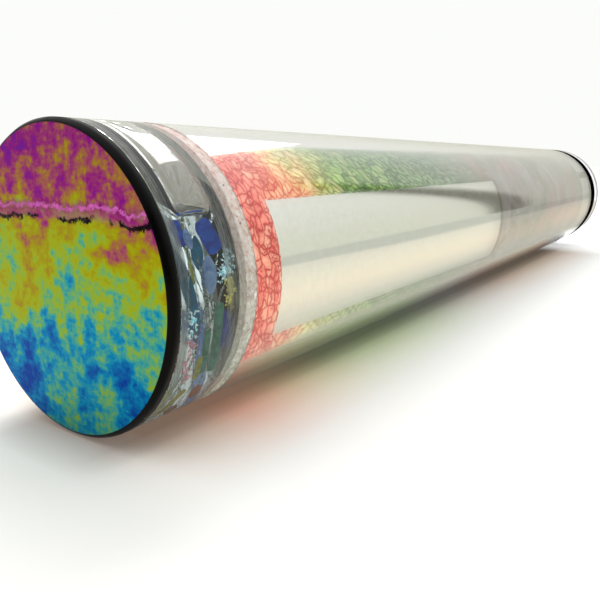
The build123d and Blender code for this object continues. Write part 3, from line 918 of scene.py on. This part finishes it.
def makeEyepiece(black, acrylic, lensGlass):
    size = {name: value * mm for name, value in eyepieceLook.items()}
    soften, hole, flare = size["soften"], size["hole"], size["flare"]
    seatRadius, seatX = size["seatRadius"], collarHigh.x - size["seatDepth"]
    lathedPiece("eyepiece_collar", "eyepieceCollar", [
        (collarLow.x, hole + flare, 0), (collarLow.x, radius - soften, 0), (collarLow.x + soften, radius, 0),
        (collarHigh.x - soften, radius, 0), (collarHigh.x, radius - soften, 0), (collarHigh.x, seatRadius, 0),
        (seatX, seatRadius, 0), (seatX, hole, 0), (collarLow.x + flare, hole, 0)], [black])
    # the lens: a dome that reaches into the sight hole, and a flat back
    rimX, lensRadius, soften = lensHigh.x - size["lensRim"], size["lensRadius"], size["lensSoften"]
    dome = hole - glueGap
    profile = []
    for i in range(13):
        share = i / 12
        profile.append((rimX - size["lensCrown"] * (1 - share * share), dome * share, 0))
    profile += [(rimX, lensRadius - soften, 0), (rimX + soften, lensRadius, 0), (lensHigh.x - soften, lensRadius, 0),
                (lensHigh.x, lensRadius - soften, 0), (lensHigh.x, 0, 0)]
    lathedPiece("eye_lens", "eyeLens", profile, [lensGlass], 96)
    # the block, black in a thin seam by the collar and dished at its back
    soften, thin, dishX = size["blockSoften"], size["seamSoften"], blockHigh.x - size["dishDepth"]
    lathedPiece("eyepiece_block", "eyepieceBlock", [
        (blockLow.x, 0, 0), (blockLow.x, radius - thin, 1), (blockLow.x + thin, radius, 1),
        (blockLow.x + size["seam"], radius, 0), (blockHigh.x - soften, radius, 0), (blockHigh.x, radius - soften, 0),
        (blockHigh.x, size["dishRadius"], 0), (dishX, size["dishFloor"], 0), (dishX, 0, 0)], [acrylic, black])


floatingLook = {
    # the piece's name, its darker and lighter colour, milkiness, clearness, slot and edge rounding
    "cobalt_chips": ("cobaltGlass", (0, 48, 150), (16, 120, 232), 0.5, 0.3, "cobalt_glass", 0.3),
    "periwinkle_petals": ("periwinkleGlass", (90, 140, 200), (196, 222, 246), 0.6, 0.3, "periwinkle_glass", 0.28),
    "teal_petals": ("tealGlass", (0, 96, 140), (20, 170, 196), 0.55, 0.4, "teal_glass", 0.25),
    "green_rods": ("greenGlass", (4, 110, 96), (110, 190, 166), 0.5, 0.45, "green_glass", 0.3),
    "olive_strands": ("oliveGlass", (128, 126, 40), (206, 206, 100), 0.5, 0.5, "olive_glass", 0.15),
    "amber_drops": ("amberGlass", (110, 60, 30), (186, 130, 88), 0.4, 0.7, "amber_glass", 0.25),
}


def makeGlass():
    for node, (name, dark, light, opal, clear, slotName, soften) in floatingLook.items():
        shape = bmesh.new()
        shape.from_mesh(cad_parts[node].data)
        bmesh.ops.remove_doubles(shape, verts=shape.verts[:], dist=0.02 * mm)
        bmesh.ops.dissolve_limit(shape, angle_limit=radians(1), verts=shape.verts[:], edges=shape.edges[:])
        piece = pieceFrom(shape, name, [makeMaterial(name, artGlassShader, dark, light, opal, clear)])
        bevel = piece.modifiers.new("worn", "BEVEL")
        bevel.width = soften * mm
        bevel.segments = 3
        bevel.limit_method = "ANGLE"
        bevel.angle_limit = radians(25)
        bakePiece(piece)
        smoothMesh(piece.data, 40)
        dress(piece, "cell_contents", node)


strandLook = {
    # tangled clear threads: how many, thickness, and where they lie in the cell
    "count": 46, "thin": 0.22, "thick": 0.55, "twist": 5.0, "inner": 9.0, "outer": 21.0,
    # the two chains against the near wall: millimetres along the frame, degrees from the top and depth
    "chains": [(-147.6, -146.0, 76, 107, 1.0), (-142.9, -146.2, 89, 106, 1.4)], "lanes": 3,
}


def addRibbon(shape, points, width, thick, turns, spin):
    # a flat thread twisted along its path
    count = len(points)
    rings = []
    for k, point in enumerate(points):
        ahead = points[min(k + 1, count - 1)] - points[max(k - 1, 0)]
        ahead.normalize()
        side = ahead.cross(Vector((0.3, 0.2, 1))).normalized()
        other = ahead.cross(side)
        angle = spin + turns * 2 * pi * k / (count - 1)
        taper = 0.35 + 0.65 * sin(pi * min(1.0, (k + 0.6) / count))
        wide = (side * cos(angle) + other * sin(angle)) * width * 0.5 * taper
        deep = (other * cos(angle) - side * sin(angle)) * thick * 0.5 * taper
        rings.append([shape.verts.new(point + step) for step in (wide, deep, -wide, -deep)])
    for first, second in zip(rings, rings[1:]):
        joinRings(shape, first, second)
    shape.faces.new(rings[0])
    shape.faces.new(rings[-1])


def inLiquid(point, margin):
    # whether a place is under the air and clear of the walls
    reach = hypot(point.y, point.z - axisZ)
    clearOfEnds = liquidLow.x + margin < point.x < liquidHigh.x - margin
    return clearOfEnds and reach < liquidRadius - margin and point.z - axisZ < (bubbleLook["level"] - 0.6) * mm


def makeStrands(glass):
    chance = random.Random(27)
    shape = bmesh.new()
    made = 0
    while made < strandLook["count"]:
        angle = chance.uniform(50, 310)
        reach = chance.triangular(strandLook["inner"], strandLook["outer"], strandLook["outer"]) * mm
        x = chance.uniform(liquidLow.x + 1.0 * mm, liquidHigh.x - 1.0 * mm)
        sweep = chance.uniform(14, 46) * chance.choice((-1, 1))
        drift = chance.uniform(-3.5, 3.5) * mm
        sink = chance.uniform(0, 4) * mm
        seed = chance.uniform(0, 50)
        points = []
        for k in range(26):
            share = k / 25
            wobble = roughness(seed, share * 2.2, 0) * 1.2 * mm
            points.append(onBarrel(x + drift * share + wobble, reach - sink * share, angle + sweep * share))
        points = [point for point in points if inLiquid(point, 0.9 * mm)]
        if len(points) < 10:
            continue
        width = chance.uniform(strandLook["thin"], strandLook["thick"]) * mm * 1.6
        addRibbon(shape, points, width, width * 0.45, strandLook["twist"] * chance.uniform(0.5, 1.6), seed)
        made += 1
    for start, end, startAngle, endAngle, depth in strandLook["chains"]:
        for lane in range(strandLook["lanes"]):
            points = []
            for k in range(40):
                share = k / 39
                wobble = roughness(lane * 9.0 + startAngle, share * 7, 0) * 0.5 * mm
                x = (start + (end - start) * share) * mm + wobble
                points.append(onBarrel(x, liquidRadius - (depth + 0.35 * lane) * mm,
                                       startAngle + (endAngle - startAngle) * share + lane * 0.7))
            addRibbon(shape, points, 0.6 * mm, 0.26 * mm, 11 + lane, lane * 1.3)
    dress(pieceFrom(shape, "clearStrands", [glass], 30, True), "cell_contents", "clear_twists")


glitterLook = {
    # the piece's and the foil's name, two colours, and the chips' density, size, spread, seed and slot
    "dichroic_flakes": ("dichroicGlitter", "dichroicGlitterFoil", (96, 214, 232), (246, 252, 250),
                        9.0e6, 0.00028, 0.0007, 4, "dichroic_flake"),
    "yellow_flakes": ("yellowGlitter", "yellowGlitterFoil", (214, 196, 40), (250, 246, 150),
                      9.0e6, 0.00028, 0.0005, 9, "yellow_glass"),
    "rose_curls": ("roseShavings", "roseFoil", (150, 50, 80), (240, 200, 206),
                   3.0e6, 0.00032, 0.0006, 14, "rose_plastic"),
}


def randomVector(tree, low, high):
    return addNode("FunctionNodeRandomValue", {0: low, 1: high}, tree, data_type="FLOAT_VECTOR").outputs[0]


def scatterTree(name, finish):
    # small thin chips thrown over a source mesh, each turned its own way
    tree = bpy.data.node_groups.new(name, "GeometryNodeTree")
    for label, kind, way in (("Geometry", "NodeSocketGeometry", "INPUT"), ("Density", "NodeSocketFloat", "INPUT"),
                             ("Chip size", "NodeSocketFloat", "INPUT"), ("Spread", "NodeSocketFloat", "INPUT"),
                             ("Seed", "NodeSocketInt", "INPUT"), ("Geometry", "NodeSocketGeometry", "OUTPUT")):
        tree.interface.new_socket(name=label, in_out=way, socket_type=kind)
    given = addNode("NodeGroupInput", {}, tree).outputs
    points = addNode("GeometryNodeDistributePointsOnFaces",
                     {"Mesh": given["Geometry"], "Density": given["Density"], "Seed": given["Seed"]})
    jitter = randomVector(tree, (-1, -1, -1), (1, 1, 1))
    offset = shaderNode("VectorMath", {0: jitter, "Scale": given["Spread"]}, operation="SCALE")
    shifted = addNode("GeometryNodeSetPosition", {"Geometry": points.outputs["Points"], "Offset": offset})
    chip = addNode("GeometryNodeMeshCylinder", {"Vertices": 5, "Radius": 1.0, "Depth": 0.35}, tree)
    turn = randomVector(tree, (0, 0, 0), (6.28, 6.28, 6.28))
    size = randomVector(tree, (0.35, 0.35, 0.5), (1.2, 0.9, 1.0))
    size = shaderNode("VectorMath", {0: size, "Scale": given["Chip size"]}, operation="SCALE")
    placed = addNode("GeometryNodeInstanceOnPoints", {"Points": shifted.outputs[0], "Instance": chip.outputs["Mesh"],
                                                      "Rotation": turn, "Scale": size})
    real = addNode("GeometryNodeRealizeInstances", {0: placed.outputs[0]})
    look = addNode("GeometryNodeSetMaterial", {"Geometry": real.outputs[0], "Material": finish})
    addNode("NodeGroupOutput", {"Geometry": look.outputs[0]})
    return tree


def makeGlitter():
    for node, (name, foil, dark, light, density, size, shift, seed, slotName) in glitterLook.items():
        finish = makeMaterial(foil, glitterShader, dark, light)
        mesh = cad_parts[node].data.copy()
        mesh.materials.clear()
        piece = objectFrom(mesh, name, [finish])
        modifier = piece.modifiers.new("scatter", "NODES")
        modifier.node_group = scatterTree(name + "Scatter", finish)
        values = {"Density": density, "Chip size": size, "Spread": shift, "Seed": seed}
        for item in modifier.node_group.interface.items_tree:
            if item.in_out == "INPUT" and item.name in values:
                modifier[item.identifier] = values[item.name]
        bakePiece(piece)
        piece.data.name = name
        dress(piece, "cell_contents", node)


def buildAll():
    scene = bpy.context.scene
    scene.view_settings.view_transform = "Standard"
    scene.cycles.max_bounces = 24
    scene.cycles.transmission_bounces = 20
    scene.cycles.glossy_bounces = 12
    scene.cycles.transparent_max_bounces = 32
    makeCamera()
    makeStage()
    makeWorld()
    makeLight()
    print("stage, light and camera ready")
    acrylic = makeMaterial("clearAcrylic", clearShader, (252, 253, 252))
    wet = makeMaterial("wettedWall", wetShader)
    makeDisc([makeMaterial("interferenceCoating", coatingShader),
              makeMaterial("blackGlass", glossShader, (3, 3, 3), (11, 11, 12), 0.3, 0.07),
              makeMaterial("coatingBack", glossShader, (96, 99, 92), (150, 152, 140), 0.3)])
    hazy = makeMaterial("hazyBore", hazyShader)
    makeCellWalls(acrylic, wet, makeMaterial("turnedEdge", machinedShader), hazy)
    makeLiquid([makeMaterial("liquidWall", liquidWallShader),
                makeMaterial("thickLiquid", clearShader, (252, 253, 253), 1.47, 0.0),
                makeMaterial("paintedBubbleWall", bubbleWallShader)])
    glue = makeMaterial("glitterGlue", adhesiveShader)
    makeBead(glue)
    dressNode("fill_plug", hazy)
    print("object end ready")
    makeGlass()
    makeStrands(makeMaterial("clearStrandGlass", strandShader))
    makeGlitter()
    print("floating pieces ready")
    makeBarrel(acrylic, glue)
    makeFilm(makeMaterial("marbledFilm", filmShader), wet)
    makeLiner(makeMaterial("silveredLiner", linerShader))
    silver = makeMaterial("silveredGlass", mirrorShader)
    for node in ("mirror_top", "mirror_near", "mirror_far"):
        dressNode(node, silver)
    tape = makeMaterial("foilTape", foilShader)
    for node in ("seam_tape_near", "seam_tape_bottom", "seam_tape_far"):
        dressNode(node, tape)
    dressNode("mirror_pads", makeMaterial("whiteFoam", glossShader, (214, 214, 212), (236, 236, 234), 0.6))
    makeEyepiece(makeMaterial("blackCollar", glossShader, (3, 3, 4), (9, 9, 10), 0.5, 0.0),
                 makeMaterial("eyepieceAcrylic", clearShader, (222, 220, 234), 1.49, 1.0),
                 makeMaterial("lensGlass", clearShader, (253, 254, 254), 1.52, 0.1))
    print("barrel and eyepiece ready")


buildAll()
